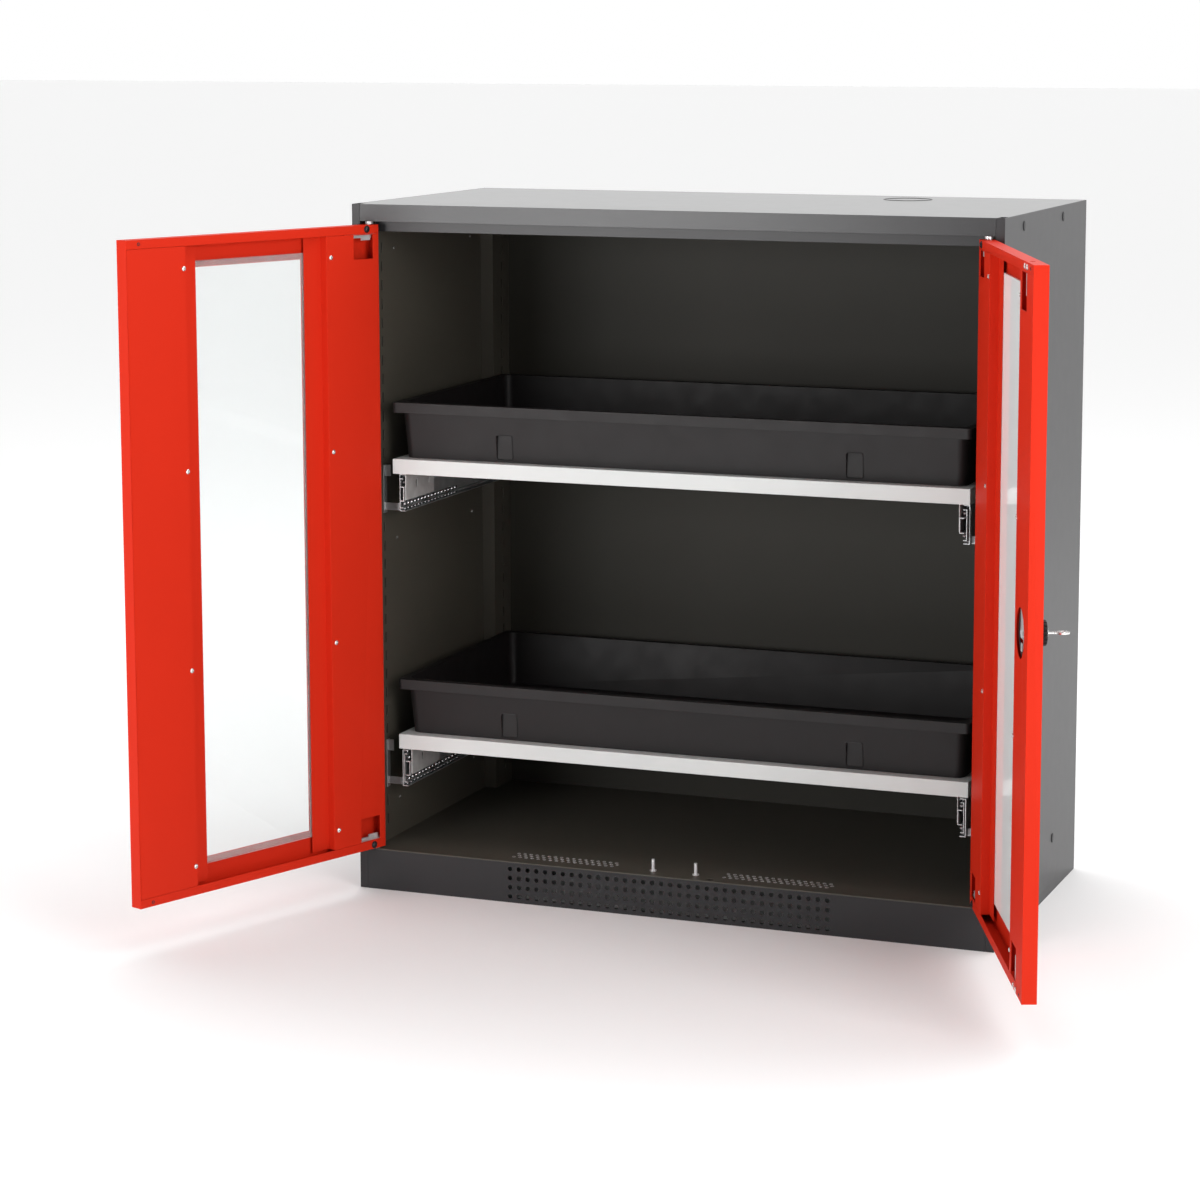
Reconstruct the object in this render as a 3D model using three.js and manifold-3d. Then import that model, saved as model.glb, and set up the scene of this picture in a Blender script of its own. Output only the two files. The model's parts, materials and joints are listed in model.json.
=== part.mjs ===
// A flammable-storage cabinet: sheet-steel carcass, two glazed doors with a turn-knob
// rod lock, and two pull-out shelves with sump trays on full-extension slides.
// Millimetres. +X right, +Y back, +Z up. Z = 0 is the floor, the carcass is centred on X and Y.
// The doors stand open and the upper shelf is a little way out: that is the rest pose.

import * as THREE from 'three';
import { mergeVertices } from 'three/addons/utils/BufferGeometryUtils.js';
import Module from 'manifold-3d';

const wasm = await Module();
wasm.setup();

// ---------- driving dimensions ----------

const GAP = 0.3; // air between pieces that touch
const WIDTH = 1055;
const DEPTH = 520;
const HEIGHT = 1105;
const SHEET = 1.5; // carcass sheet
const DOOR_SHEET = 1.2;
const MERGE = 0.002; // corners and slivers finer than this are merged in the meshes

const HALF = WIDTH / 2;
const FLANGE = 13.5; // front return of a side panel, seen from the front
const RETURN_DEPTH = 26; // how far that return runs back
const RAIL_HEIGHT = 27; // front rail of the top
const FLOOR_TOP = 66.8;
const FLOOR_UNDER = FLOOR_TOP - SHEET;
const REAR_FLANGE = 20;

const PIN_X = 501.5; // door hinge pin, from the middle
const PIN_Y = 8; // and back from the front plane
const PIN_RADIUS = 3;
const PIN_EDGE = 7.5; // pin to the door's hinge edge
const DOOR_WIDTH = 506;
const DOOR_THICK = 21;
const DOOR_BOTTOM = 70;
const DOOR_TOP = 1073;
const LEFT_OPEN = 111; // degrees from closed, at rest
const RIGHT_OPEN = 113;

const WINDOW = { u0: 148, u1: 361, z0: 120, z1: 1025 };
const HINGE_STIFF_U = 111; // inner edge of the hinge-side stiffener
const FREE_STIFF_U = 394;
const LIP = 13.5; // top and bottom lips of the door pan
const CLAMP_V = 6.1; // depth at which the stiffeners clamp the glass
const POCKET = { u0: 12, u1: 53, height: 38, below: 15 };

const LOCK_U = 440; // knob and rod line, from the hinge edge
const LOCK_Z = 570;
const ROD_V = 12; // rod line, in from the outer face
const ROD_RADIUS = 4;
const CRANK = 13; // crank radius of the lock cam, equal to the rod travel

const SLOT_PITCH = 30; // slots of the inner walls and rear uprights
const SLOT_FIRST = 103;
const SLOT_COUNT = 32;

const SLIDE_LENGTH = 440;
const SLIDE_FRONT = 42; // front end of the fixed members
const SLIDE_OUTER_X = 470;
const SLIDE_INNER_X = 456.6;
const SHELF_HALF = 474;
const SHELF_DEPTH = 448;
const SHELF_RAIL = 24;
const SHELF_IN_Y = 38; // rail face with the shelf pushed right in
const RAIL_ABOVE_SLIDE = 32.5; // slide centre to the underside of the rail
const TRAY_HEIGHT = 90;
const TRAY_RIM = 16;

const SHELVES = [
  { name: 'upper', slideZ: SLOT_FIRST + 18 * SLOT_PITCH, out: 12 },
  { name: 'lower', slideZ: SLOT_FIRST + 3 * SLOT_PITCH, out: 0 },
];

// ---------- materials ----------

function paint(color, roughness, metalness) {
  return new THREE.MeshStandardMaterial({ color, roughness, metalness, flatShading: true });
}

const anthracite = paint(0x55575a, 0.55, 0.3);
const interior = paint(0x32332f, 0.6, 0.3);
const doorRed = paint(0xdc3020, 0.35, 0.2);
const shelfGrey = paint(0xd7d7d3, 0.45, 0.2);
const trayBlack = paint(0x393636, 0.6, 0);
const zinc = paint(0xb9bcc0, 0.35, 0.9);
const chrome = paint(0xdadde0, 0.15, 1);
const rubber = paint(0xd8d4cc, 0.5, 0);
const blackPlastic = paint(0x151515, 0.45, 0);
const glass = new THREE.MeshStandardMaterial({
  color: 0xdfe9e8,
  roughness: 0.05,
  metalness: 0,
  transparent: true,
  opacity: 0.3,
  flatShading: true,
});

// ---------- solids ----------

function solid(geometry) {
  geometry.deleteAttribute('normal');
  geometry.deleteAttribute('uv');
  const merged = mergeVertices(geometry, 1e-5);
  return new wasm.Manifold(new wasm.Mesh({
    numProp: 3,
    vertProperties: new Float32Array(merged.attributes.position.array),
    triVerts: new Uint32Array(merged.index.array),
  }));
}

function box(x0, x1, y0, y1, z0, z1) {
  const geometry = new THREE.BoxGeometry(Math.abs(x1 - x0), y1 - y0, z1 - z0);
  geometry.translate((x0 + x1) / 2, (y0 + y1) / 2, (z0 + z1) / 2);
  return solid(geometry);
}

// Upright cylinder from z0 to z1.
function post(x, y, z0, z1, radius, sides = 24) {
  const geometry = new THREE.CylinderGeometry(radius, radius, z1 - z0, sides);
  geometry.rotateX(Math.PI / 2);
  geometry.translate(x, y, (z0 + z1) / 2);
  return solid(geometry);
}

// Cylinder along Y from y0 to y1.
function bar(x, z, y0, y1, radius, sides = 24) {
  const geometry = new THREE.CylinderGeometry(radius, radius, y1 - y0, sides);
  geometry.translate(x, (y0 + y1) / 2, z);
  return solid(geometry);
}

function join(...parts) {
  return parts.reduce((sum, part) => sum.add(part));
}

function cut(body, ...tools) {
  return tools.reduce((left, tool) => left.subtract(tool), body);
}

function mesh(name, body, material) {
  const data = body.asOriginal().simplify(MERGE).getMesh();
  const geometry = new THREE.BufferGeometry();
  geometry.setAttribute('position', new THREE.BufferAttribute(data.vertProperties, 3));
  geometry.setIndex(new THREE.BufferAttribute(data.triVerts, 1));
  geometry.computeVertexNormals();
  const result = new THREE.Mesh(geometry, material);
  result.name = name;
  return result;
}

const SIDES = [
  { name: 'left', sign: -1, open: LEFT_OPEN },
  { name: 'right', sign: 1, open: RIGHT_OPEN },
];

// ---------- carcass ----------

// A box given by distances from a side panel's outer face towards the middle.
function inFromSide(sign, s0, s1, y0, y1, z0, z1) {
  return box(sign * (HALF - s0), sign * (HALF - s1), y0, y1, z0, z1);
}

const PLUG_HOLES = [[115, 1087], [363.5, 1087], [115, 90], [363.5, 90]];
const PLUG_HOLE_RADIUS = 6.5;

function sidePanel(sign) {
  const holes = PLUG_HOLES.map(([y, z]) => {
    const geometry = new THREE.CylinderGeometry(PLUG_HOLE_RADIUS, PLUG_HOLE_RADIUS, 8, 16);
    geometry.rotateZ(Math.PI / 2);
    geometry.translate(sign * HALF, y, z);
    return solid(geometry);
  });
  return cut(
    join(
      inFromSide(sign, 0, SHEET, 0, DEPTH, 0, HEIGHT),
      inFromSide(sign, 0, FLANGE, 0, SHEET, 0, HEIGHT),
      inFromSide(sign, FLANGE - SHEET, FLANGE, 0, RETURN_DEPTH, 0, HEIGHT),
      inFromSide(sign, 0, REAR_FLANGE, DEPTH - SHEET, DEPTH, 0, HEIGHT),
    ),
    ...holes,
  );
}

const BETWEEN_FLANGES = HALF - FLANGE - GAP;
const BETWEEN_SKINS = HALF - SHEET - GAP;
const BETWEEN_REAR = HALF - REAR_FLANGE - GAP;
const INNER_FRONT = RETURN_DEPTH + GAP;
const BACK_SHEET_Y = DEPTH - SHEET - GAP - SHEET; // front face of the back panel
const ROD_X = PIN_X + PIN_EDGE - LOCK_U; // rod line with the right door shut
const ROD_Y = ROD_V;
const ROD_HOLE = 6;

// The parts of a horizontal sheet that fit inside the side panels.
function innerSheet(z0, z1, yEnd) {
  return join(
    box(-BETWEEN_FLANGES, BETWEEN_FLANGES, 0, INNER_FRONT + 1, z0, z1),
    box(-BETWEEN_SKINS, BETWEEN_SKINS, INNER_FRONT, yEnd, z0, z1),
  );
}

const KNOCKOUT = { x: 258, y: 422, radius: 38, slit: 1.2, bridges: 4 };

function knockoutSlits() {
  const { x, y, radius, slit, bridges } = KNOCKOUT;
  const top = HEIGHT + 1;
  const under = HEIGHT - SHEET - 1;
  const ring = cut(post(x, y, under, top, radius, 48), post(x, y, under, top, radius - slit, 48));
  const arms = [];
  for (let i = 0; i < bridges / 2; i += 1) {
    const arm = new THREE.BoxGeometry(2 * radius + 4, 5, 8);
    arm.rotateZ(Math.PI / 4 + (i * Math.PI) / 2);
    arm.translate(x, y, HEIGHT - SHEET / 2);
    arms.push(solid(arm));
  }
  return cut(ring, ...arms);
}

function topPanel() {
  const railBottom = HEIGHT - RAIL_HEIGHT;
  const sheetZ = HEIGHT - SHEET;
  return cut(
    join(
      innerSheet(sheetZ, HEIGHT, DEPTH - SHEET - GAP),
      box(-BETWEEN_REAR, BETWEEN_REAR, DEPTH - 6, DEPTH, sheetZ, HEIGHT),
      box(-BETWEEN_REAR, BETWEEN_REAR, DEPTH - SHEET, DEPTH, HEIGHT - 20, HEIGHT),
      box(-BETWEEN_FLANGES, BETWEEN_FLANGES, 0, SHEET, railBottom, HEIGHT),
      box(-BETWEEN_FLANGES, BETWEEN_FLANGES, 0, RETURN_DEPTH - 1, railBottom, railBottom + SHEET),
    ),
    knockoutSlits(),
    post(ROD_X, ROD_Y, railBottom - 1, railBottom + 4, ROD_HOLE),
    post(-PIN_X, PIN_Y, railBottom - 1, railBottom + 4, PIN_RADIUS + GAP),
    post(PIN_X, PIN_Y, railBottom - 1, railBottom + 4, PIN_RADIUS + GAP),
  );
}

function innerHeader() {
  const top = HEIGHT - RAIL_HEIGHT - GAP;
  const bottom = top - 16.7;
  const half = 500;
  const y = INNER_FRONT + 1.2;
  return join(
    box(-half, half, y, y + SHEET, bottom, top),
    box(-half, half, y, y + 22, bottom, bottom + SHEET),
    box(-half, half, y, y + 12, top - SHEET, top),
  );
}

function backPanel() {
  return box(
    -BETWEEN_SKINS, BETWEEN_SKINS, BACK_SHEET_Y, BACK_SHEET_Y + SHEET, 3, HEIGHT - SHEET - GAP,
  );
}

const STOP_PINS = [{ name: 'left', x: -31 }, { name: 'right', x: 40 }];
const STOP_PIN_Y = 27;
const STOP_PIN_RADIUS = 2.6;

function floorPanel() {
  const pins = STOP_PINS.map(({ x }) => (
    post(x, STOP_PIN_Y, FLOOR_UNDER - 1, FLOOR_TOP + 1, STOP_PIN_RADIUS + GAP)
  ));
  return cut(
    innerSheet(FLOOR_UNDER, FLOOR_TOP, BACK_SHEET_Y - GAP),
    ...pins,
    post(ROD_X, ROD_Y, FLOOR_UNDER - 1, FLOOR_TOP + 1, ROD_HOLE),
    post(-PIN_X, PIN_Y, FLOOR_UNDER - 1, FLOOR_TOP + 1, PIN_RADIUS + GAP),
    post(PIN_X, PIN_Y, FLOOR_UNDER - 1, FLOOR_TOP + 1, PIN_RADIUS + GAP),
  );
}

const PERFORATION = { columns: 36, rows: 4, pitchX: 15.1, pitchZ: 15, firstZ: 10, radius: 3.6 };

function plinth() {
  const top = FLOOR_UNDER - GAP;
  const half = 480; // the top return stops short of the hinge pins
  const { columns, rows, pitchX, pitchZ, firstZ, radius } = PERFORATION;
  const holes = [];
  for (let row = 0; row < rows; row += 1) {
    for (let column = 0; column < columns; column += 1) {
      const x = (column - (columns - 1) / 2) * pitchX;
      holes.push(bar(x, firstZ + row * pitchZ, -1, SHEET + 1, radius, 8));
    }
  }
  return cut(
    join(
      box(-BETWEEN_FLANGES, BETWEEN_FLANGES, 0, SHEET, 0, top),
      box(-half, half, 0, 20.5, top - SHEET, top),
      box(-half, half, 0, 25, 0, SHEET),
    ),
    post(ROD_X, ROD_Y, top - 4, top + 1, ROD_HOLE),
    wasm.Manifold.union(holes),
  );
}

const MEMBER_HALF_DEPTH = 25;

function baseCrossMember() {
  const middle = DEPTH / 2;
  const top = FLOOR_UNDER - GAP;
  const front = middle - MEMBER_HALF_DEPTH;
  const back = middle + MEMBER_HALF_DEPTH;
  return join(
    box(-BETWEEN_SKINS, BETWEEN_SKINS, front, back, 0, SHEET),
    box(-BETWEEN_SKINS, BETWEEN_SKINS, front, front + SHEET, 0, top),
    box(-BETWEEN_SKINS, BETWEEN_SKINS, back - SHEET, back, 0, top),
  );
}

// Inner walls 24.5 mm in from the side panels' outer faces, slotted near the front edge, and
// slotted rear uprights that stand further in. The slides hook into both.
const WALL_IN = 24.5;
const WALL_BOTTOM = FLOOR_TOP + GAP;
const WALL_TOP = HEIGHT - SHEET - GAP;
const INNER_WALL = { y0: INNER_FRONT, y1: 446, slotY: 56 };
const REAR_UPRIGHT = { y0: 447, webX: 481.3, slotY: 485 };
const SLOT_WIDTH = 4.6;
const SLOT_HEIGHT = 17;

function slotCutters(sign, x, slotY) {
  const heights = Array.from({ length: SLOT_COUNT }, (_, i) => SLOT_FIRST + i * SLOT_PITCH);
  return wasm.Manifold.union(heights.map((z) => box(
    sign * (x - 2), sign * (x + 4),
    slotY - SLOT_WIDTH / 2, slotY + SLOT_WIDTH / 2,
    z - SLOT_HEIGHT / 2, z + SLOT_HEIGHT / 2,
  )));
}

function innerWall(sign) {
  const { y0, y1, slotY } = INNER_WALL;
  return cut(
    join(
      inFromSide(sign, WALL_IN - SHEET, WALL_IN, y0, y1, WALL_BOTTOM, WALL_TOP),
      inFromSide(sign, SHEET + GAP, WALL_IN, y0, y0 + 1, WALL_BOTTOM, WALL_TOP),
      inFromSide(sign, SHEET + GAP, WALL_IN, y1 - SHEET, y1, WALL_BOTTOM, WALL_TOP),
    ),
    slotCutters(sign, HALF - WALL_IN, slotY),
  );
}

function rearUpright(sign) {
  const { y0, webX, slotY } = REAR_UPRIGHT;
  const backY = BACK_SHEET_Y - GAP;
  const webIn = HALF - webX;
  return cut(
    join(
      inFromSide(sign, SHEET + GAP, webIn, y0, y0 + SHEET, WALL_BOTTOM, WALL_TOP),
      inFromSide(sign, webIn - SHEET, webIn, y0, backY, WALL_BOTTOM, WALL_TOP),
      inFromSide(sign, webIn - 16, webIn, backY - SHEET, backY, WALL_BOTTOM, WALL_TOP),
    ),
    slotCutters(sign, webX, slotY),
  );
}

// A headed pin through the rail or the floor, with the collar that carries the door.
function hingePin(sign, upper) {
  const x = sign * PIN_X;
  if (upper) {
    const rail = HEIGHT - RAIL_HEIGHT;
    return join(
      post(x, PIN_Y, DOOR_TOP - 21, rail + 5, PIN_RADIUS),
      post(x, PIN_Y, DOOR_TOP + 0.4, rail - GAP, 6),
      post(x, PIN_Y, rail + SHEET + GAP, rail + 5, 5.5),
    );
  }
  return join(
    post(x, PIN_Y, FLOOR_UNDER - 5, DOOR_BOTTOM + 21, PIN_RADIUS),
    post(x, PIN_Y, FLOOR_TOP + GAP, DOOR_BOTTOM - 0.4, 6),
    post(x, PIN_Y, FLOOR_UNDER - 5, FLOOR_UNDER - GAP, 5.5),
  );
}

function stopPin(x) {
  return join(
    post(x, STOP_PIN_Y, FLOOR_UNDER - 6, FLOOR_TOP + 19.5, STOP_PIN_RADIUS),
    post(x, STOP_PIN_Y, FLOOR_TOP + GAP, FLOOR_TOP + GAP + 1.6, 5.5),
    post(x, STOP_PIN_Y, FLOOR_UNDER - 5, FLOOR_UNDER - GAP, 5, 6),
  );
}

// ---------- doors ----------
// u runs from the hinge edge to the free edge, v from the outer face inwards.
// In the door's own group the pin is at x = y = 0 and the door is shut.

function doorBox(sign, u0, u1, v0, v1, z0, z1) {
  return box(-sign * (u0 - PIN_EDGE), -sign * (u1 - PIN_EDGE), v0 - PIN_Y, v1 - PIN_Y, z0, z1);
}

function doorPost(sign, u, v, z0, z1, radius, sides = 24) {
  return post(-sign * (u - PIN_EDGE), v - PIN_Y, z0, z1, radius, sides);
}

function doorBar(sign, u, z, v0, v1, radius, sides = 24) {
  return bar(-sign * (u - PIN_EDGE), z, v0 - PIN_Y, v1 - PIN_Y, radius, sides);
}

function doorShell(sign, locked) {
  const inner = DOOR_THICK - DOOR_SHEET;
  const { u0, u1, z0, z1 } = WINDOW;
  const edge = DOOR_WIDTH - DOOR_SHEET;
  const pan = join(
    doorBox(sign, 0, DOOR_WIDTH, 0, DOOR_SHEET, DOOR_BOTTOM, DOOR_TOP),
    doorBox(sign, 0, DOOR_SHEET, 0, DOOR_THICK, DOOR_BOTTOM, DOOR_TOP),
    doorBox(sign, edge, DOOR_WIDTH, 0, DOOR_THICK, DOOR_BOTTOM, DOOR_TOP),
    doorBox(sign, 0, DOOR_WIDTH, 0, DOOR_THICK, DOOR_TOP - DOOR_SHEET, DOOR_TOP),
    doorBox(sign, 0, DOOR_WIDTH, 0, DOOR_THICK, DOOR_BOTTOM, DOOR_BOTTOM + DOOR_SHEET),
    doorBox(sign, 0, DOOR_WIDTH, inner, DOOR_THICK, DOOR_TOP - LIP, DOOR_TOP),
    doorBox(sign, 0, DOOR_WIDTH, inner, DOOR_THICK, DOOR_BOTTOM, DOOR_BOTTOM + LIP),
  );
  const tools = [
    doorBox(sign, u0, u1, -1, DOOR_SHEET + 1, z0, z1),
    doorPost(sign, PIN_EDGE, PIN_Y, DOOR_TOP - 3, DOOR_TOP + 1, PIN_RADIUS + GAP),
    doorPost(sign, PIN_EDGE, PIN_Y, DOOR_BOTTOM - 1, DOOR_BOTTOM + 3, PIN_RADIUS + GAP),
  ];
  if (locked) {
    tools.push(
      doorPost(sign, LOCK_U, ROD_V, DOOR_TOP - 3, DOOR_TOP + 1, ROD_RADIUS + 0.5),
      doorPost(sign, LOCK_U, ROD_V, DOOR_BOTTOM - 1, DOOR_BOTTOM + 3, ROD_RADIUS + 0.5),
      doorBar(sign, LOCK_U, LOCK_Z, -1, DOOR_SHEET + 1, 5.5),
    );
  }
  return cut(pan, ...tools);
}

const STIFF_BOTTOM = DOOR_BOTTOM + LIP + GAP;
const STIFF_TOP = DOOR_TOP - LIP - GAP;

function hingeStiffener(sign) {
  const inner = DOOR_THICK - DOOR_SHEET;
  const wall = HINGE_STIFF_U;
  const { u0, u1, height, below } = POCKET;
  return cut(
    join(
      doorBox(sign, DOOR_SHEET + GAP, wall, inner, DOOR_THICK, STIFF_BOTTOM, STIFF_TOP),
      doorBox(sign, wall - DOOR_SHEET, wall, CLAMP_V, DOOR_THICK, STIFF_BOTTOM, STIFF_TOP),
      doorBox(sign, wall - DOOR_SHEET, WINDOW.u0 - 2, CLAMP_V, CLAMP_V + DOOR_SHEET,
        STIFF_BOTTOM, STIFF_TOP),
    ),
    doorBox(sign, u0, u1, inner - 1, DOOR_THICK + 1,
      DOOR_TOP - below - height, DOOR_TOP - below),
    doorBox(sign, u0, u1, inner - 1, DOOR_THICK + 1,
      DOOR_BOTTOM + below, DOOR_BOTTOM + below + height),
  );
}

function freeStiffener(sign, locked) {
  const inner = DOOR_THICK - DOOR_SHEET;
  const wall = FREE_STIFF_U;
  const outer = DOOR_WIDTH - DOOR_SHEET - GAP;
  const body = join(
    doorBox(sign, wall, outer, inner, DOOR_THICK, STIFF_BOTTOM, STIFF_TOP),
    doorBox(sign, wall, wall + DOOR_SHEET, CLAMP_V, DOOR_THICK, STIFF_BOTTOM, STIFF_TOP),
    doorBox(sign, WINDOW.u1 + 2, wall + DOOR_SHEET, CLAMP_V, CLAMP_V + DOOR_SHEET,
      STIFF_BOTTOM, STIFF_TOP),
  );
  if (!locked) {
    return body;
  }
  const slotU0 = 407;
  const slotU1 = 451;
  return cut(
    body,
    doorBar(sign, LOCK_U, LOCK_Z, inner - 1, DOOR_THICK + 1, 35, 40),
    doorBox(sign, slotU0, slotU1, inner - 1, DOOR_THICK + 1, DOOR_TOP - 66.5, DOOR_TOP - 15),
    doorBox(sign, slotU0, slotU1, inner - 1, DOOR_THICK + 1, DOOR_BOTTOM + 15, DOOR_BOTTOM + 62),
  );
}

const GLASS = { u0: 128, u1: 381, z0: 110, z1: 1035, v0: 2.8, thick: 3 };

function glassPane(sign) {
  const { u0, u1, z0, z1, v0, thick } = GLASS;
  return doorBox(sign, u0, u1, v0, v0 + thick, z0, z1);
}

// Clear glazing tape between the skin and the glass, flush with the window opening.
function glassGasket(sign) {
  const { u0, u1, z0, z1 } = WINDOW;
  const v0 = DOOR_SHEET + GAP;
  const v1 = GLASS.v0 - GAP;
  const band = 9;
  return cut(
    doorBox(sign, u0 - band, u1 + band, v0, v1, z0 - band, z1 + band),
    doorBox(sign, u0 - 1, u1 + 1, v0 - 1, v1 + 1, z0 - 1, z1 + 1),
  );
}

// Bracket round the pin; its stepped inner leaf shows at the edge of the pocket.
const BRACKET = { u0: 1.8, u1: 55, plate: 3, leafV0: 15, leafV1: 17, leaf: 11, arm: 7, stepU: 33 };

function hingeBracket(sign, upper) {
  const { u0, u1, plate, leafV0, leafV1, leaf, arm, stepU } = BRACKET;
  const zEdge = upper ? DOOR_TOP - 13 : DOOR_BOTTOM + 13;
  const z = (reach) => (upper ? [zEdge - reach, zEdge] : [zEdge, zEdge + reach]);
  return cut(
    join(
      doorBox(sign, u0, u1, 2, leafV1, ...z(plate)),
      doorBox(sign, 14, stepU, leafV0, leafV1, ...z(leaf)),
      doorBox(sign, stepU - 1, u1, leafV0, leafV1, ...z(arm)),
    ),
    doorPost(sign, PIN_EDGE, PIN_Y, zEdge - 8, zEdge + 8, PIN_RADIUS + GAP),
  );
}

// ---------- lock of the right door ----------

const KNOB = { radius: 18, front: -15, bore: 8.3, boreDepth: 10 };
const SPINDLE_RADIUS = 4.6;

function turnKnob(sign) {
  const { radius, front, bore, boreDepth } = KNOB;
  return cut(
    join(
      doorBar(sign, LOCK_U, LOCK_Z, -6, -GAP, radius + 2, 32),
      doorBar(sign, LOCK_U, LOCK_Z, front, -GAP, radius, 32),
      doorBar(sign, LOCK_U, LOCK_Z, -1, 11.5, SPINDLE_RADIUS, 16),
    ),
    doorBar(sign, LOCK_U, LOCK_Z, front - 1, front + boreDepth, bore, 24),
  );
}

const CYLINDER_RADIUS = 8;
const KEY = { thick: 2.6, blade: 8, bow: 22, bowFrom: -47, bowTo: -25, tip: -7 };

function lockCylinder(sign) {
  const { front, boreDepth } = KNOB;
  const half = KEY.blade / 2 + GAP;
  const slot = KEY.thick / 2 + GAP;
  return cut(
    doorBar(sign, LOCK_U, LOCK_Z, front - 1.5, front + boreDepth - GAP, CYLINDER_RADIUS, 24),
    doorBox(sign, LOCK_U - half, LOCK_U + half, front - 3, KEY.tip + GAP,
      LOCK_Z - slot, LOCK_Z + slot),
  );
}

function lockKey(sign) {
  const { thick, blade, bow, bowFrom, bowTo, tip } = KEY;
  const z0 = LOCK_Z - thick / 2;
  const z1 = LOCK_Z + thick / 2;
  return cut(
    join(
      doorBox(sign, LOCK_U - blade / 2, LOCK_U + blade / 2, bowTo - 1, tip, z0, z1),
      doorBox(sign, LOCK_U - bow / 2, LOCK_U + bow / 2, bowFrom, bowTo, z0, z1),
    ),
    doorPost(sign, LOCK_U, bowFrom + 6, z0 - 1, z1 + 1, 3, 16),
  );
}

function lockHousing(sign) {
  return cut(
    doorBar(sign, LOCK_U, LOCK_Z, DOOR_SHEET + GAP, 8.6, 15, 24),
    doorBar(sign, LOCK_U, LOCK_Z, 0, 10, SPINDLE_RADIUS + GAP, 16),
  );
}

const CRANK_PIN_RADIUS = 2.5;

function lockCam(sign) {
  const v0 = 9;
  const v1 = 11.6;
  const pins = [-1, 1].map((way) => (
    doorBar(sign, LOCK_U + way * CRANK, LOCK_Z, v0, 15.9, CRANK_PIN_RADIUS, 12)
  ));
  const ends = [-1, 1].map((way) => (
    doorBar(sign, LOCK_U + way * CRANK, LOCK_Z, v0, v1, 4.5, 16)
  ));
  return cut(
    join(
      doorBar(sign, LOCK_U, LOCK_Z, v0, v1, 9, 20),
      doorBox(sign, LOCK_U - CRANK, LOCK_U + CRANK, v0, v1, LOCK_Z - 4.4, LOCK_Z + 4.4),
      ...ends,
      ...pins,
    ),
    doorBar(sign, LOCK_U, LOCK_Z, v0 - 1, v1 + 1, SPINDLE_RADIUS + GAP, 16),
  );
}

// Rod with a slotted tab: way = 1 is the upper rod, driven by the pin nearer the free edge.
function lockRod(sign, way) {
  const v0 = way > 0 ? 12 : 14;
  const v1 = v0 + 1.5;
  const z = (a, b) => (way > 0 ? [LOCK_Z + a, LOCK_Z + b] : [LOCK_Z - b, LOCK_Z - a]);
  const u = (a, b) => (way > 0 ? [LOCK_U + a, LOCK_U + b] : [LOCK_U - b, LOCK_U - a]);
  const end = way > 0 ? DOOR_TOP - 1.5 - LOCK_Z : LOCK_Z - DOOR_BOTTOM - 1.5;
  return cut(
    join(
      doorBox(sign, ...u(-8, 21), v0, v1, ...z(-8, 11)),
      doorBox(sign, ...u(-5, 5), v0, v1, ...z(10, 34)),
      doorPost(sign, LOCK_U, ROD_V, ...z(30, end), ROD_RADIUS, 12),
    ),
    doorBox(sign, ...u(-3.5, 17), v0 - 1, v1 + 1, ...z(-3.5, 6.5)),
  );
}

function rodGuide(sign, upper) {
  const v0 = ROD_V + ROD_RADIUS + 0.4;
  const far = upper ? DOOR_TOP - 2 : DOOR_BOTTOM + 2;
  const z = (a, b) => (upper ? [far - b, far - a] : [far + a, far + b]);
  return join(
    doorBox(sign, LOCK_U - 12, LOCK_U + 22, v0, v0 + 1.8, ...z(0, 14)),
    doorBox(sign, LOCK_U - 12, LOCK_U + 8, v0, v0 + 1.8, ...z(0, 45)),
    doorBox(sign, LOCK_U - 6.3, LOCK_U - 4.5, 8, v0 + 1, ...z(18, 40)),
    doorBox(sign, LOCK_U + 4.5, LOCK_U + 6.3, 8, v0 + 1, ...z(18, 40)),
  );
}

// ---------- pull-out shelves ----------

const TAB = { y0: 4, y1: 111, down: 43 }; // mounting tabs, from the slide's front end

function shelfFrame(railY, slideZ) {
  const under = slideZ + RAIL_ABOVE_SLIDE;
  const top = under + SHELF_RAIL;
  const back = railY + SHELF_DEPTH;
  const slideY = railY + SLIDE_FRONT - SHELF_IN_Y;
  const tabX1 = SLIDE_INNER_X - GAP;
  const tabX0 = tabX1 - SHEET;
  const parts = [
    box(-SHELF_HALF, SHELF_HALF, railY, back, top - SHEET, top),
    box(-SHELF_HALF, SHELF_HALF, railY, railY + SHEET, under, top),
    box(-SHELF_HALF, SHELF_HALF, railY, railY + 18, under, under + SHEET),
    box(-SHELF_HALF, SHELF_HALF, back - SHEET, back, under, top),
    box(-SHELF_HALF, -SHELF_HALF + SHEET, railY, back, under, top),
    box(SHELF_HALF - SHEET, SHELF_HALF, railY, back, under, top),
  ];
  const slots = [];
  for (const sign of [-1, 1]) {
    const x0 = sign * tabX0;
    const x1 = sign * tabX1;
    for (const y of [slideY, slideY + SLIDE_LENGTH - TAB.y0 - TAB.y1]) {
      parts.push(box(x0, x1, y + TAB.y0, y + TAB.y1, under - TAB.down, top - 0.5));
      slots.push(
        box(x0 - 3, x0 + 3, y + 42, y + 48, under - 26, under - 14),
        box(x0 - 3, x0 + 3, y + 90, y + 93, under - 26, under - 12),
      );
    }
  }
  return cut(join(...parts), ...slots);
}

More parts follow.
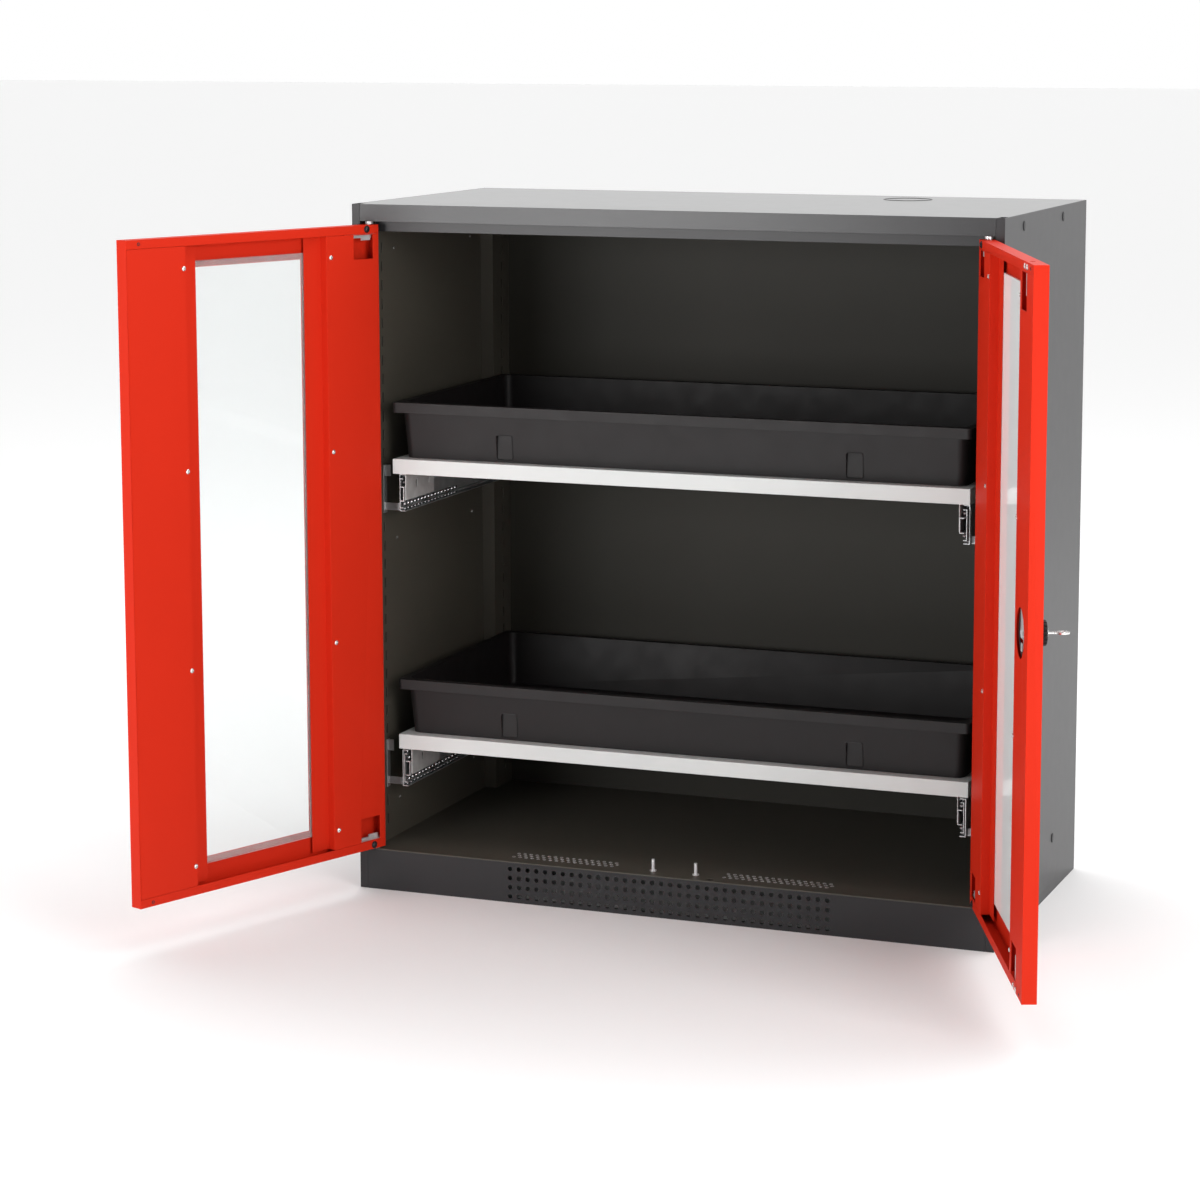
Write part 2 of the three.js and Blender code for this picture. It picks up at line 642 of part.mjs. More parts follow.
// Rounded rectangle, used for the outlines of the tray.
function outline(x0, x1, y0, y1, radius) {
  const shape = new THREE.Shape();
  shape.moveTo(x0 + radius, y0);
  shape.lineTo(x1 - radius, y0);
  shape.absarc(x1 - radius, y0 + radius, radius, -Math.PI / 2, 0);
  shape.lineTo(x1, y1 - radius);
  shape.absarc(x1 - radius, y1 - radius, radius, 0, Math.PI / 2);
  shape.lineTo(x0 + radius, y1);
  shape.absarc(x0 + radius, y1 - radius, radius, Math.PI / 2, Math.PI);
  shape.lineTo(x0, y0 + radius);
  shape.absarc(x0 + radius, y0 + radius, radius, Math.PI, 1.5 * Math.PI);
  return shape.getPoints(5);
}

function loft(lower, upper, z0, z1) {
  const points = [];
  for (const p of lower) {
    points.push([p.x, p.y, z0]);
  }
  for (const p of upper) {
    points.push([p.x, p.y, z1]);
  }
  return wasm.Manifold.hull(points);
}

const TRAY_WALL = 2.5;
const TRAY_TOP_X = 465.9;
const TRAY_BASE_X = 460.3;
const RIM_X = 475.5;
const RECESS = { x: 288, width: 26, height: 38, depth: 4 };

function sumpTray(railY, z0) {
  const rimBottom = z0 + TRAY_HEIGHT - TRAY_RIM;
  const top = z0 + TRAY_HEIGHT;
  const rimBack = railY + SHELF_DEPTH;
  const wallTop = { x: TRAY_TOP_X, y0: railY + 12, y1: rimBack - 12 };
  const wallBase = { x: TRAY_BASE_X, y0: railY + 21, y1: rimBack - 21 };
  const at = (level, inset, radius) => outline(
    -level.x + inset, level.x - inset, level.y0 + inset, level.y1 - inset, radius,
  );
  const rimOuter = outline(-RIM_X, RIM_X, railY, rimBack, 8);
  const rimInner = outline(
    -RIM_X + TRAY_WALL, RIM_X - TRAY_WALL, railY + TRAY_WALL, rimBack - TRAY_WALL, 6,
  );
  const faceY = railY + 16.5; // the sloping front wall near the recesses
  const recess = (sign, grow) => box(
    sign * RECESS.x - RECESS.width / 2 - grow, sign * RECESS.x + RECESS.width / 2 + grow,
    faceY - 8, faceY + RECESS.depth + grow, z0 + 5 - grow, z0 + 5 + RECESS.height + grow,
  );
  const band = loft(rimOuter, rimOuter, rimBottom, top);
  const bandHollow = loft(rimInner, rimInner, rimBottom - 1, top - TRAY_WALL);
  const walls = loft(at(wallBase, 0, 14), at(wallTop, 0, 16), z0, top - 1);
  const hollow = loft(
    at(wallBase, TRAY_WALL, 12), at(wallTop, TRAY_WALL, 14), z0 + TRAY_WALL, top + 1,
  );
  const pockets = join(recess(-1, TRAY_WALL), recess(1, TRAY_WALL)).intersect(walls);
  return cut(
    join(cut(band, bandHollow), walls).subtract(hollow).add(pockets),
    recess(-1, 0),
    recess(1, 0),
  );
}

// Slide members, with X measured outwards from the middle on either side.
function slideBox(sign, x0, x1, y0, y1, z0, z1) {
  return box(sign * x0, sign * x1, y0, y1, z0, z1);
}

// Outer member, with the brackets that hook it into the inner wall and the rear upright.
function fixedMember(sign, slideZ) {
  const y0 = SLIDE_FRONT;
  const y1 = SLIDE_FRONT + SLIDE_LENGTH;
  const x0 = SLIDE_OUTER_X - 10;
  const x1 = SLIDE_OUTER_X;
  const web = x1 - SHEET;
  const wall = HALF - WALL_IN - GAP;
  const rear = REAR_UPRIGHT.webX - GAP;
  const frontY = INNER_WALL.slotY;
  const rearY = REAR_UPRIGHT.slotY;
  const hooks = [[wall, frontY], [rear, rearY]].flatMap(([x, y]) => [-SLOT_PITCH, SLOT_PITCH].map((z) => (
    slideBox(sign, x - 1, x + 5, y - 1, y + 1, slideZ + z - 6, slideZ + z + 6)
  )));
  return join(
    slideBox(sign, web, x1, y0, y1, slideZ - 30, slideZ + 30),
    slideBox(sign, x0, x1, y0, y1, slideZ + 28.5, slideZ + 30),
    slideBox(sign, x0, x1, y0, y1, slideZ - 30, slideZ - 28.5),
    slideBox(sign, web, wall, frontY - 1, frontY + 1, slideZ - 31, slideZ - 19),
    slideBox(sign, wall - SHEET, wall, frontY - 6, frontY + 6, slideZ - 36, slideZ + 42),
    slideBox(sign, wall - 11, wall, frontY - 1, frontY + 1, slideZ + 24, slideZ + 42),
    slideBox(sign, web, rear, y1 - 12, y1 - 10, slideZ - 24, slideZ + 24),
    slideBox(sign, rear - SHEET, rear, y1 - 12, rearY + 4, slideZ - 36, slideZ + 36),
    ...hooks,
  );
}

function intermediateMember(sign, y0, slideZ) {
  const y1 = y0 + SLIDE_LENGTH;
  return join(
    slideBox(sign, 465.7, 467.2, y0, y1, slideZ - 24, slideZ + 24),
    slideBox(sign, 461, 467.2, y0, y1, slideZ + 22.5, slideZ + 24),
    slideBox(sign, 461, 467.2, y0, y1, slideZ - 24, slideZ - 22.5),
  );
}

function drawerMember(sign, y0, slideZ) {
  const y1 = y0 + SLIDE_LENGTH;
  return join(
    slideBox(sign, SLIDE_INNER_X, SLIDE_INNER_X + SHEET, y0, y1, slideZ - 12, slideZ + 12),
    slideBox(sign, SLIDE_INNER_X, 464.4, y0, y1, slideZ + 10.5, slideZ + 12),
    slideBox(sign, SLIDE_INNER_X, 464.4, y0, y1, slideZ - 12, slideZ - 10.5),
  );
}

// ---------- assembly ----------

const cabinet = new THREE.Group();
cabinet.name = 'storage_cabinet';
const fromFront = new THREE.Group();
fromFront.position.set(0, -DEPTH / 2, 0);
cabinet.add(fromFront);

for (const { name, sign } of SIDES) {
  fromFront.add(
    mesh(`${name}_side_panel`, sidePanel(sign), anthracite),
    mesh(`${name}_inner_wall`, innerWall(sign), interior),
    mesh(`${name}_rear_upright`, rearUpright(sign), interior),
    mesh(`${name}_upper_hinge_pin`, hingePin(sign, true), zinc),
    mesh(`${name}_lower_hinge_pin`, hingePin(sign, false), zinc),
  );
}
fromFront.add(
  mesh('top_panel', topPanel(), anthracite),
  mesh('inner_header', innerHeader(), anthracite),
  mesh('back_panel', backPanel(), interior),
  mesh('floor_panel', floorPanel(), interior),
  mesh('plinth', plinth(), anthracite),
  mesh('base_cross_member', baseCrossMember(), anthracite),
);
for (const { name, x } of STOP_PINS) {
  fromFront.add(mesh(`${name}_door_stop_pin`, stopPin(x), zinc));
}

for (const { name, sign, open } of SIDES) {
  const locked = sign > 0;
  const door = new THREE.Group();
  door.position.set(sign * PIN_X, PIN_Y, 0);
  door.rotation.z = THREE.MathUtils.degToRad(sign * open);
  door.add(
    mesh(`${name}_door_shell`, doorShell(sign, locked), doorRed),
    mesh(`${name}_door_hinge_stiffener`, hingeStiffener(sign), doorRed),
    mesh(`${name}_door_free_stiffener`, freeStiffener(sign, locked), doorRed),
    mesh(`${name}_door_glass`, glassPane(sign), glass),
    mesh(`${name}_door_glass_gasket`, glassGasket(sign), rubber),
    mesh(`${name}_door_upper_hinge_bracket`, hingeBracket(sign, true), zinc),
    mesh(`${name}_door_lower_hinge_bracket`, hingeBracket(sign, false), zinc),
  );
  if (locked) {
    door.add(
      mesh('turn_knob', turnKnob(sign), blackPlastic),
      mesh('lock_cylinder', lockCylinder(sign), chrome),
      mesh('lock_key', lockKey(sign), chrome),
      mesh('lock_housing', lockHousing(sign), zinc),
      mesh('lock_cam', lockCam(sign), zinc),
      mesh('upper_lock_rod', lockRod(sign, 1), zinc),
      mesh('lower_lock_rod', lockRod(sign, -1), zinc),
      mesh('upper_rod_guide', rodGuide(sign, true), zinc),
      mesh('lower_rod_guide', rodGuide(sign, false), zinc),
    );
  }
  fromFront.add(door);
}

for (const { name, slideZ, out } of SHELVES) {
  const railY = SHELF_IN_Y - out;
  const trayZ = slideZ + RAIL_ABOVE_SLIDE + SHELF_RAIL + GAP;
  fromFront.add(
    mesh(`${name}_shelf_frame`, shelfFrame(railY, slideZ), shelfGrey),
    mesh(`${name}_sump_tray`, sumpTray(railY, trayZ), trayBlack),
  );
  for (const { name: side, sign } of SIDES) {
    const member = `${name}_${side}_slide`;
    fromFront.add(
      mesh(`${member}_fixed_member`, fixedMember(sign, slideZ), zinc),
      mesh(`${member}_middle_member`, intermediateMember(sign, SLIDE_FRONT - out / 2, slideZ), zinc),
      mesh(`${member}_drawer_member`, drawerMember(sign, SLIDE_FRONT - out, slideZ), zinc),
    );
  }
}

export default cabinet;
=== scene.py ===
# Looks of the flammable-storage cabinet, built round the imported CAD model.
# Metres, +Z up, the front of the cabinet towards -Y, in the frame of that model.

import json
import math

import bmesh
import bpy
from mathutils import Matrix, Vector


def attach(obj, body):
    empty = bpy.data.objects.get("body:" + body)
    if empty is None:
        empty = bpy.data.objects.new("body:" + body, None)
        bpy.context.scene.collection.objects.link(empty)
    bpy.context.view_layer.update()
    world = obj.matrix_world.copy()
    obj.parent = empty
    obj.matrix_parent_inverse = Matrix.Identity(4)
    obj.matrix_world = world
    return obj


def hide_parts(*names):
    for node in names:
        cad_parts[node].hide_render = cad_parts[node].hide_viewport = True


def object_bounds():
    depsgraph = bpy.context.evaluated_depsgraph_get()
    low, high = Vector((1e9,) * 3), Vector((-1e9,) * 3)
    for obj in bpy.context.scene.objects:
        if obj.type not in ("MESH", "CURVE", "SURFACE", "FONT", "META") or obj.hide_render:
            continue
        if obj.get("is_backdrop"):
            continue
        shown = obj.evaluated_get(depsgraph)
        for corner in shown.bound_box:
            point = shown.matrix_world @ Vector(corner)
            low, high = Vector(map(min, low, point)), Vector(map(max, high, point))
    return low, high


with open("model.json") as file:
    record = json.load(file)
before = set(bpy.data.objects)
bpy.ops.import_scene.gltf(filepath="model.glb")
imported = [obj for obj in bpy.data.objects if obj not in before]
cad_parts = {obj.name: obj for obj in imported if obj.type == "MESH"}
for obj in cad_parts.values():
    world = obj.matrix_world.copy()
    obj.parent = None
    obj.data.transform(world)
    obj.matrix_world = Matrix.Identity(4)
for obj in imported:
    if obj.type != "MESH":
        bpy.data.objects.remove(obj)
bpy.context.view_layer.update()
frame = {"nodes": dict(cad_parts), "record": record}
nodes = frame["nodes"]
scene = bpy.context.scene

# ---------- carcass, door and slide sizes, as in the CAD ----------

FRONT_Y = -0.260
HALF = 0.5275  # half the width
HEIGHT = 1.105
SHEET = 0.0015  # carcass sheet
GAP = 0.0003  # air between pieces that touch
FLOOR_TOP = 0.0668
PIN_X = 0.5015
PIN_DEPTH = 0.008  # hinge pin, back from the front of the carcass and in from the door's face
PIN_Y = FRONT_Y + PIN_DEPTH
PIN_EDGE = 0.0075  # pin to the door's hinge edge
DOOR_BOTTOM = 0.070
DOOR_TOP = 1.073
DOOR_THICK = 0.021
LOCK_U = 0.440  # lock axis, from the hinge edge
LOCK_Z = 0.570
OPEN = {"left": math.radians(111), "right": math.radians(113)}  # from closed, at rest
SIGN = {"left": -1, "right": 1}
SLIDES = {"upper": (0.643, 0.012), "lower": (0.193, 0.0)}  # middle line, and how far out at rest
SLIDE_FRONT = FRONT_Y + 0.042
SLIDE_STROKE = 0.21  # of a middle member
RAIL_ABOVE_SLIDE = 0.0325
SHELF_RAIL = 0.024


# ---------- materials ----------

def new_material(name):
    mat = bpy.data.materials.new(name)
    mat.use_nodes = True
    tree = mat.node_tree
    return mat, tree, tree.nodes["Principled BSDF"]


def add(tree, kind, **settings):
    node = tree.nodes.new(kind)
    for key, value in settings.items():
        if key in node.inputs:
            node.inputs[key].default_value = value
        else:
            setattr(node, key, value)
    return node


def noise(tree, scale, detail=2.0, rough=0.5, stretch=None):
    coords = add(tree, "ShaderNodeTexCoord")
    source = coords.outputs["Object"]
    if stretch:
        mapping = add(tree, "ShaderNodeMapping", Scale=stretch)
        tree.links.new(source, mapping.inputs["Vector"])
        source = mapping.outputs["Vector"]
    texture = add(tree, "ShaderNodeTexNoise", Scale=scale, Detail=detail, Roughness=rough)
    tree.links.new(source, texture.inputs["Vector"])
    return texture.outputs["Fac"]


def ramp(tree, source, low, high, start=0.3, end=0.7):
    node = add(tree, "ShaderNodeMapRange")
    node.inputs["From Min"].default_value = start
    node.inputs["From Max"].default_value = end
    node.inputs["To Min"].default_value = low
    node.inputs["To Max"].default_value = high
    tree.links.new(source, node.inputs["Value"])
    return node.outputs["Result"]


def tint(tree, source, dark, light):
    mix = add(tree, "ShaderNodeMix", data_type="RGBA")
    mix.inputs[6].default_value = (*dark, 1)
    mix.inputs[7].default_value = (*light, 1)
    tree.links.new(source, mix.inputs[0])
    return mix.outputs[2]


def bump(tree, shader, source, distance, strength):
    node = add(tree, "ShaderNodeBump", Strength=strength, Distance=distance)
    tree.links.new(source, node.inputs["Height"])
    tree.links.new(node.outputs["Normal"], shader.inputs["Normal"])


def scaled(color, factor):
    return tuple(c * factor for c in color)


def object_height(tree):
    """Height above the ground at rest, since every object sits at the origin."""
    split = add(tree, "ShaderNodeSeparateXYZ")
    tree.links.new(add(tree, "ShaderNodeTexCoord").outputs["Object"], split.inputs["Vector"])
    return split.outputs["Z"]


def upright_only(tree, source):
    """Fades a height to nothing on level faces."""
    split = add(tree, "ShaderNodeSeparateXYZ")
    tree.links.new(add(tree, "ShaderNodeNewGeometry").outputs["Normal"], split.inputs["Vector"])
    level = ramp(tree, split.outputs["Z"], 1.0, 0.0, 0.4, 0.9)
    product = add(tree, "ShaderNodeMath", operation="MULTIPLY")
    tree.links.new(source, product.inputs[0])
    tree.links.new(level, product.inputs[1])
    return product.outputs["Value"]


def powder_coat(name, color, roughness, grain=1300.0, depth=0.00002, spread=0.03, gloss=0.5,
                upright=False):
    """Cured powder coat: a fine orange peel (on upright faces only, if said so), with slight
    drift in tone and roughness."""
    mat, tree, shader = new_material(name)
    drift = ramp(tree, noise(tree, 5.0, 3.0), 0.0, 1.0)
    tree.links.new(
        tint(tree, drift, scaled(color, 1 - spread), scaled(color, 1 + spread)),
        shader.inputs["Base Color"],
    )
    tree.links.new(
        ramp(tree, noise(tree, 40.0, 4.0), roughness - 0.006, roughness + 0.006),
        shader.inputs["Roughness"],
    )
    peel = noise(tree, grain, 2.0)
    bump(tree, shader, upright_only(tree, peel) if upright else peel, depth, 0.6)
    shader.inputs["Specular IOR Level"].default_value = gloss
    return mat


def zinc_metal(name, color, roughness, stretch, metallic=1.0):
    """Drawn, zinc-plated steel: fine lines along the drawing direction and a faint mottle."""
    mat, tree, shader = new_material(name)
    lines = noise(tree, 900.0, 3.0, 0.6, stretch)
    mottle = noise(tree, 70.0, 4.0)
    tree.links.new(
        tint(tree, ramp(tree, mottle, 0, 1), scaled(color, 0.86), scaled(color, 1.06)),
        shader.inputs["Base Color"],
    )
    tree.links.new(
        ramp(tree, lines, roughness - 0.08, roughness + 0.12), shader.inputs["Roughness"]
    )
    bump(tree, shader, lines, 0.00003, 0.5)
    shader.inputs["Metallic"].default_value = metallic
    return mat


def moulded_plastic(name, color, roughness, grain, depth, gloss=0.5):
    """Plastic with a fine moulded grain."""
    mat, tree, shader = new_material(name)
    cloud = ramp(tree, noise(tree, 9.0, 4.0), 0, 1)
    tree.links.new(
        tint(tree, cloud, scaled(color, 0.94), scaled(color, 1.06)),
        shader.inputs["Base Color"],
    )
    tree.links.new(
        ramp(tree, noise(tree, 35.0, 3.0), roughness - 0.03, roughness + 0.04),
        shader.inputs["Roughness"],
    )
    bump(tree, shader, noise(tree, grain, 3.0, 0.6), depth, 0.6)
    shader.inputs["Specular IOR Level"].default_value = gloss
    return mat


def clear_glass(name, turn, haze):
    """Clear face on, white at a grazing angle as a painted reflection (over the range turn of facing),
    faintly green.
    """
    mat, tree, shader = new_material(name)
    shader.inputs["Base Color"].default_value = (0.955, 0.98, 0.978, 1)
    shader.inputs["IOR"].default_value = 1.3
    shader.inputs["Specular IOR Level"].default_value = 0.3
    facing = add(tree, "ShaderNodeLayerWeight", Blend=0.5)
    # Painted reflection: transmission falls at a grazing angle, so the near-white base colour shows as
    # white diffuse.
    tree.links.new(
        ramp(tree, facing.outputs["Facing"], 0.90, 0.08, *turn),
        shader.inputs["Transmission Weight"],
    )
    tree.links.new(
        ramp(tree, noise(tree, 14.0, 3.0), 0.0, haze), shader.inputs["Roughness"]
    )
    bump(tree, shader, noise(tree, 3.0, 0.0), 0.00005, 0.3)
    return mat


def shelf_finish(name, tab_top):
    """Light grey coat on the shelf rails, bare zinc on the mounting tabs below them."""
    mat, tree, shader = new_material(name)
    is_rail = ramp(tree, object_height(tree), 0.0, 1.0, tab_top - 0.0001, tab_top + 0.0001)
    drift = ramp(tree, noise(tree, 5.0, 3.0), 0, 1)
    coat = tint(tree, drift, (0.58, 0.605, 0.595), (0.61, 0.635, 0.625))
    mottle = ramp(tree, noise(tree, 55.0, 4.0), 0, 1)
    bare = tint(tree, mottle, (0.50, 0.49, 0.48), (0.62, 0.61, 0.60))
    mix = add(tree, "ShaderNodeMix", data_type="RGBA")
    tree.links.new(is_rail, mix.inputs[0])
    tree.links.new(bare, mix.inputs[6])
    tree.links.new(coat, mix.inputs[7])
    tree.links.new(mix.outputs[2], shader.inputs["Base Color"])
    tree.links.new(ramp(tree, is_rail, 0.35, 0.0, 0.0, 1.0), shader.inputs["Metallic"])
    tree.links.new(ramp(tree, noise(tree, 40.0, 4.0), 0.38, 0.42), shader.inputs["Roughness"])
    bump(tree, shader, noise(tree, 1000.0, 2.0), 0.00003, 0.6)
    return mat


ANTHRACITE = (0.024, 0.0235, 0.025)
carcass_paint = powder_coat(
    "anthracite_coat", ANTHRACITE, 0.34, grain=1800.0, depth=0.00001, gloss=0.3
)
hammered_paint = powder_coat(
    "anthracite_front_coat", ANTHRACITE, 0.28, grain=520.0, depth=0.0002, gloss=0.36, upright=True
)
interior_paint = powder_coat("interior_coat", (0.070, 0.064, 0.050), 0.48)
# The back panel takes the interior coat at about half the tone: painted shade deep in the cabinet.
back_shaded_paint = powder_coat("interior_back_coat", (0.033, 0.031, 0.0245), 0.55, gloss=0.25)
door_paint = powder_coat("red_coat", (0.62, 0.0245, 0.0080), 0.50, grain=1100.0, spread=0.015, gloss=0.08)
tray_plastic = moulded_plastic(
    "tray_polypropylene", (0.0105, 0.009, 0.0092), 0.50, grain=1500.0, depth=0.00003, gloss=0.3
)
knob_plastic = moulded_plastic(
    "knob_plastic", (0.005, 0.005, 0.005), 0.42, grain=900.0, depth=0.00003, gloss=0.22
)
plug_plastic = moulded_plastic("plug_plastic", (0.012, 0.012, 0.013), 0.45, grain=900.0, depth=0.00004)
zinc = zinc_metal("zinc_plate", (0.80, 0.81, 0.82), 0.34, stretch=(1, 1, 0.06), metallic=0.6)
# The slide zinc is the plate zinc at about 0.57 of its tone: painted shade inside the cabinet.
shaded_slide_metal = zinc_metal("slide_zinc", (0.46, 0.465, 0.47), 0.36, stretch=(1, 0.05, 1), metallic=0.8)
nickel = zinc_metal("nickel_plate", (0.82, 0.82, 0.81), 0.20, stretch=(1, 1, 0.3), metallic=0.8)
ball_steel = zinc_metal("ball_steel", (0.78, 0.78, 0.80), 0.12, stretch=(1, 1, 1))
dark_steel = zinc_metal("dark_steel", (0.06, 0.06, 0.065), 0.38, stretch=(1, 1, 1), metallic=0.9)
# Both glazings turn white at a grazing angle: painted reflection.
glass = clear_glass("safety_glass", turn=(0.35, 0.68), haze=0.012)
clear_tape = clear_glass("glazing_tape", turn=(0.3, 0.9), haze=0.25)
shelf_paints = {
    shelf: shelf_finish(f"{shelf}_shelf_coat", slide_z + RAIL_ABOVE_SLIDE)
    for shelf, (slide_z, out) in SLIDES.items()
}

SLOT_LOOKS = {
    "carcass_paint": carcass_paint,
    "interior_paint": interior_paint,
    "door_paint": door_paint,
    "tray_plastic": tray_plastic,
    "zinc_plate": zinc,
    "nickel_plate": nickel,
    "rubber_seal": clear_tape,
    "knob_plastic": knob_plastic,
    "safety_glass": glass,
}
NODE_LOOKS = {
    "top_panel": hammered_paint,
    "back_panel": back_shaded_paint,
    "upper_shelf_frame": shelf_paints["upper"],
    "lower_shelf_frame": shelf_paints["lower"],
}


def look_of(sub):
    if "_slide_" in sub["node"]:
        return shaded_slide_metal
    if sub["node"] in NODE_LOOKS:
        return NODE_LOOKS[sub["node"]]
    return SLOT_LOOKS[sub["material_slot"]]


def paint(obj, material):
    obj.data.materials.clear()
    obj.data.materials.append(material)


# ---------- the CAD nodes: finish and softened edges ----------

def soften(obj, width, segments=2):
    """Welds the split corners of the imported mesh and rounds its sharp edges."""
    weld = obj.modifiers.new("weld", "WELD")
    weld.merge_threshold = 0.00002
    edge = obj.modifiers.new("edge", "BEVEL")
    edge.width = width
    edge.segments = segments
    edge.limit_method = "ANGLE"
    edge.angle_limit = math.radians(40)
    edge.harden_normals = True
    edge.use_clamp_overlap = True


def edge_width(node):
    if "tray" in node:
        return 0.0012
    if "shelf_frame" in node:
        return 0.0007
    return 0.0004


for sub in frame["record"]["subparts"]:
    node = nodes[sub["node"]]
    paint(node, look_of(sub))
    if sub["material_slot"] != "safety_glass":
        soften(node, edge_width(sub["node"]))


# ---------- mesh kit for the small pieces ----------

def frame_at(origin, axis):
    """A matrix that puts local Z along axis, at origin."""
    return Matrix.Translation(origin) @ Vector(axis).to_track_quat("Z", "Y").to_matrix().to_4x4()


def door_space(side):
    """Turns (u, v, z) on a shut door, u from its hinge edge and v in from its face, into the
    world at rest, where the doors stand open."""
    sign = SIGN[side]
    return (
        Matrix.Translation((sign * PIN_X, PIN_Y, 0))
        @ Matrix.Rotation(sign * OPEN[side], 4, "Z")
        @ Matrix.Diagonal((-sign, 1, 1, 1))
        @ Matrix.Translation((-PIN_EDGE, -PIN_DEPTH, 0))
    )


def lathe(bm, place, profile, segments=24, shape=None):
    """Spins (radius, height) points round local Z; shape(angle, radius, height) may move a point."""
    rings = []
    for radius, height in profile:
        if radius == 0:
            rings.append([bm.verts.new(place @ Vector((0, 0, height)))])
            continue
        ring = []
        for step in range(segments):
            angle = 2 * math.pi * step / segments
            r, h = shape(angle, radius, height) if shape else (radius, height)
            ring.append(bm.verts.new(place @ Vector((r * math.cos(angle), r * math.sin(angle), h))))
        rings.append(ring)
    for low, high in zip(rings, rings[1:]):
        for step in range(segments):
            after = (step + 1) % segments
            corners = [low[step % len(low)], low[after % len(low)],
                       high[after % len(high)], high[step % len(high)]]
            bm.faces.new(list(dict.fromkeys(corners)))


def block(bm, place, low, high):
    corners = [
        bm.verts.new(place @ Vector((x, y, z)))
        for x in (low[0], high[0]) for y in (low[1], high[1]) for z in (low[2], high[2])
    ]
    for face in ((0, 1, 3, 2), (4, 6, 7, 5), (0, 4, 5, 1), (2, 3, 7, 6), (0, 2, 6, 4), (1, 5, 7, 3)):
        bm.faces.new([corners[i] for i in face])


def plate(bm, place, outline, thick):
    """A flat plate of any outline in local XY, thick along local Z."""
    lower = [bm.verts.new(place @ Vector((x, y, 0))) for x, y in outline]
    upper = [bm.verts.new(place @ Vector((x, y, thick))) for x, y in outline]
    bm.faces.new(lower)
    bm.faces.new(upper)
    for a in range(len(outline)):
        b = (a + 1) % len(outline)
        bm.faces.new((lower[a], lower[b], upper[b], upper[a]))


def pan_screw(bm, place, radius, height):
    """A pan head with a cross recess, its underside at local Z 0."""
    def cross(angle, r, h):
        in_arm = min(abs(math.sin(angle)), abs(math.cos(angle))) * r < 0.17 * radius
        return r, h - (0.45 * height if r < 0.62 * radius and in_arm else 0)

    crown = [
        (radius * f, height * math.sqrt(max(0.0, 1 - 0.8 * f * f)))
        for f in (1.0, 0.9, 0.75, 0.63, 0.6, 0.45, 0.3, 0.16)
    ]
    lathe(bm, place, [(0, 0), (radius * 0.96, 0), *crown, (0, 0.55 * height)], 32, cross)


def dome(bm, place, radius, height, segments=20):
    """A low rivet or plug head with a rounded edge."""
    profile = [(0, 0), (radius, 0), (radius, 0.35 * height), (0.92 * radius, 0.7 * height),
               (0.7 * radius, 0.93 * height), (0.35 * radius, height), (0, height)]
    lathe(bm, place, profile, segments)


def washer(bm, place, inner, outer, thick, segments=32):
    profile = [(inner, 0), (outer, 0), (outer, thick * 0.7), (outer - thick * 0.3, thick),
               (inner + thick * 0.2, thick), (inner, thick * 0.8), (inner, 0)]
    lathe(bm, place, profile, segments)


def finish_piece(bm, name, material, body, edge=0.0, sharp=35):
    """Turns the mesh into a painted piece and hangs it on its body."""
    bmesh.ops.remove_doubles(bm, verts=bm.verts, dist=1e-7)
    bmesh.ops.recalc_face_normals(bm, faces=bm.faces)
    mesh = bpy.data.meshes.new(name)
    bm.to_mesh(mesh)
    bm.free()
    obj = bpy.data.objects.new(name, mesh)
    scene.collection.objects.link(obj)
    mesh.shade_smooth()
    mesh.set_sharp_from_angle(angle=math.radians(sharp))
    paint(obj, material)
    if edge:
        soften(obj, edge)
    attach(obj, body)
    return obj


# ---------- screws and holes of the doors ----------

SCREW_U = (0.102, 0.3975)
SCREW_Z = (0.115, 0.4185, 0.722, 1.026)
SCREW = (0.0036, 0.0022)  # radius and height of a head
GUIDE_SCREW_U = (0.437, 0.457)
LIP_SCREW_U = 0.025
LIP_SCREW = (0.0042, 0.0024)
LIP_WASHER = (0.0028, 0.0058, 0.0008)  # inner and outer radius, thickness
LIP_EYELET_U = 0.482
LIP_EYELET = (0.0014, 0.0026, 0.0004)
LIP_INSET = 0.0065
LIP_Z = (DOOR_BOTTOM + LIP_INSET, DOOR_TOP - LIP_INSET)


def on_inner_face(space, u, z):
    """Local Z points into the cabinet from the inner face of a shut door."""
    return space @ frame_at((u, DOOR_THICK, z), (0, 1, 0))


for side in SIGN:
    space = door_space(side)
    screws = bmesh.new()
    for u in SCREW_U:
        for z in SCREW_Z:
            pan_screw(screws, on_inner_face(space, u, z), *SCREW)
    if side == "right":
        for u in GUIDE_SCREW_U:
            for z in LIP_Z:
                pan_screw(screws, on_inner_face(space, u, z), *LIP_SCREW)
    finish_piece(screws, f"{side}_door_pan_screws", nickel, f"{side}_door")

    dark = bmesh.new()
    for z in LIP_Z:
        seat = on_inner_face(space, LIP_SCREW_U, z)
        washer(dark, seat, *LIP_WASHER)
        pan_screw(dark, seat @ Matrix.Translation((0, 0, LIP_WASHER[2])), *LIP_SCREW)
        washer(dark, on_inner_face(space, LIP_EYELET_U, z), *LIP_EYELET)
    finish_piece(dark, f"{side}_door_lip_screws", dark_steel, f"{side}_door")


# ---------- lock: knob, key and the parts behind the inspection hole ----------

right_space = door_space("right")


def lock_frame(v, way):
    """Local Z points out of the cabinet (way -1) or into it (way 1), from depth v on the lock
    axis of the right door."""
    return right_space @ frame_at((LOCK_U, v, LOCK_Z), (0, way, 0))


KNOB_RADIUS = 0.018
KNOB_FLANGE = 0.020
KNOB_FRONT = 0.0150
CYLINDER_BORE = 0.0083
BORE_FLOOR = 0.0052
SPINDLE_RADIUS = 0.0046
SPINDLE_END = -0.0115
GRIP = (0.007, 0.0135)  # stretch of the knob that is scalloped
SCALLOPS = 18
SCALLOP_DEPTH = 0.0014


def scallops(angle, radius, height):
    if GRIP[0] < height < GRIP[1] and radius > 0.015:
        radius -= SCALLOP_DEPTH / 2 * (1 + math.cos(SCALLOPS * angle))
    return radius, height


